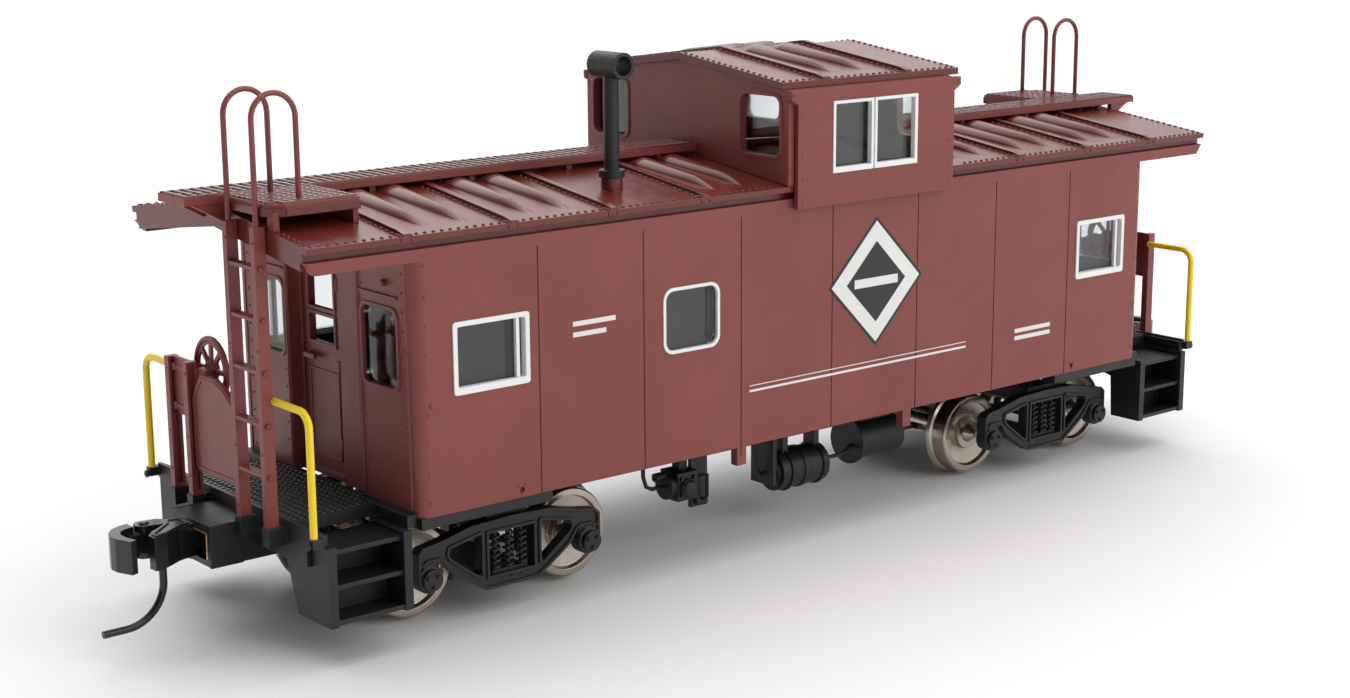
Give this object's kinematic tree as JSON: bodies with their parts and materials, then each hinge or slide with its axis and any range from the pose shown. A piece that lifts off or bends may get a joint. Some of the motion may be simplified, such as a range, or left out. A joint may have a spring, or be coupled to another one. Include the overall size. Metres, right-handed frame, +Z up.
{
  "type": "model railway caboose",
  "caption": "Model railway caboose: cabin with a raised lookout cupola, open end platforms, ladders, swivelling trucks on rolling wheelsets, and swinging knuckle couplers.",
  "frame": {"origin": "centre of the car's length and width, at the lowest point of the wheel flanges", "axes": "+X along the car towards end b, +Y across the car, +Z up; seen from +Z, end a's ladder is on the -Y side"},
  "size_m": [0.1596, 0.0364, 0.0558],
  "materials": {
    "oxide_plastic": "satin oxide red paint",
    "black_plastic": "matte",
    "yellow_plastic": "satin",
    "white_plastic": "satin",
    "clear_plastic": "clear styrene",
    "black_metal": "satin black",
    "blackened_screw": "blackened",
    "nickel_silver": "turned, slightly toned",
    "bronze_leaf": "bright",
    "steel_weight": "plain"
  },
  "bodies": {
    "car_body": {"body_shell": "oxide_plastic", "main_roof": "oxide_plastic", "cupola_shell": "oxide_plastic", "cupola_roof": "oxide_plastic", "running_board_a": "oxide_plastic", "running_board_b": "oxide_plastic", "smokejack": "black_plastic", "sliding_window_frames": "white_plastic", "fixed_window_gaskets": "white_plastic", "cupola_window_frames": "white_plastic", "side_glazing": "clear_plastic", "end_glazing": "clear_plastic", "cupola_glazing": "clear_plastic", "end_door_a": "oxide_plastic", "end_door_b": "oxide_plastic", "underframe": "black_plastic", "ballast_weight": "steel_weight", "kingpin_screws": "blackened_screw", "end_platform_a": "black_plastic", "end_platform_b": "black_plastic", "corner_steps_a": "black_plastic", "corner_steps_b": "black_plastic", "end_railing_a": "oxide_plastic", "end_railing_b": "oxide_plastic", "brake_wheel_a": "oxide_plastic", "brake_wheel_b": "oxide_plastic", "ladder_a": "oxide_plastic", "ladder_b": "oxide_plastic", "grab_irons_a": "yellow_plastic", "grab_irons_b": "yellow_plastic", "draft_box_a": "black_plastic", "draft_box_b": "black_plastic", "centring_spring_a": "bronze_leaf", "centring_spring_b": "bronze_leaf", "draft_box_screws": "blackened_screw", "air_tank": "black_plastic", "brake_cylinder": "black_plastic", "control_valve": "black_plastic"},
    "truck_a": {"truck_frame_a": "black_plastic", "bearing_caps_a": "black_plastic", "truck_springs_a": "black_plastic"},
    "truck_b": {"truck_frame_b": "black_plastic", "bearing_caps_b": "black_plastic", "truck_springs_b": "black_plastic"},
    "wheelset_1": {"axle_1": "nickel_silver", "wheels_1": "nickel_silver"},
    "wheelset_2": {"axle_2": "nickel_silver", "wheels_2": "nickel_silver"},
    "wheelset_3": {"axle_3": "nickel_silver", "wheels_3": "nickel_silver"},
    "wheelset_4": {"axle_4": "nickel_silver", "wheels_4": "nickel_silver"},
    "coupler_a": {"coupler_a": "black_metal", "trip_pin_a": "black_metal"},
    "coupler_b": {"coupler_b": "black_metal", "trip_pin_b": "black_metal"},
    "knuckle_a": {"knuckle_a": "black_metal"},
    "knuckle_b": {"knuckle_b": "black_metal"}
  },
  "joints": [
    {"name": "truck_swivel_a", "type": "hinge", "parent": "car_body", "child": "truck_a", "pos_m": [-0.0411, 0, 0.0114], "axis": [0, 0, 1], "range_deg": [-7, 7]},
    {"name": "truck_swivel_b", "type": "hinge", "parent": "car_body", "child": "truck_b", "pos_m": [0.0411, 0, 0.0114], "axis": [0, 0, 1], "range_deg": [-7, 7]},
    {"name": "wheelset_spin_1", "type": "hinge", "parent": "truck_a", "child": "wheelset_1", "pos_m": [-0.051, 0, 0.00545], "axis": [0, 1, 0], "continuous": true},
    {"name": "wheelset_spin_2", "type": "hinge", "parent": "truck_a", "child": "wheelset_2", "pos_m": [-0.0312, 0, 0.00545], "axis": [0, 1, 0], "continuous": true},
    {"name": "wheelset_spin_3", "type": "hinge", "parent": "truck_b", "child": "wheelset_3", "pos_m": [0.0312, 0, 0.00545], "axis": [0, 1, 0], "continuous": true},
    {"name": "wheelset_spin_4", "type": "hinge", "parent": "truck_b", "child": "wheelset_4", "pos_m": [0.051, 0, 0.00545], "axis": [0, 1, 0], "continuous": true},
    {"name": "coupler_swing_a", "type": "hinge", "parent": "car_body", "child": "coupler_a", "pos_m": [-0.0624, 0, 0.01057], "axis": [0, 0, 1], "range_deg": [-8, 8], "stiffness_Nm_per_rad": 0.002},
    {"name": "knuckle_open_a", "type": "hinge", "parent": "coupler_a", "child": "knuckle_a", "pos_m": [-0.07375, 0.0018, 0.01057], "axis": [0, 0, 1], "range_deg": [-25, 0], "stiffness_Nm_per_rad": 0.0002},
    {"name": "coupler_swing_b", "type": "hinge", "parent": "car_body", "child": "coupler_b", "pos_m": [0.0624, 0, 0.01057], "axis": [0, 0, 1], "range_deg": [-8, 8], "stiffness_Nm_per_rad": 0.002},
    {"name": "knuckle_open_b", "type": "hinge", "parent": "coupler_b", "child": "knuckle_b", "pos_m": [0.07375, -0.0018, 0.01057], "axis": [0, 0, 1], "range_deg": [-25, 0], "stiffness_Nm_per_rad": 0.0002}
  ]
}
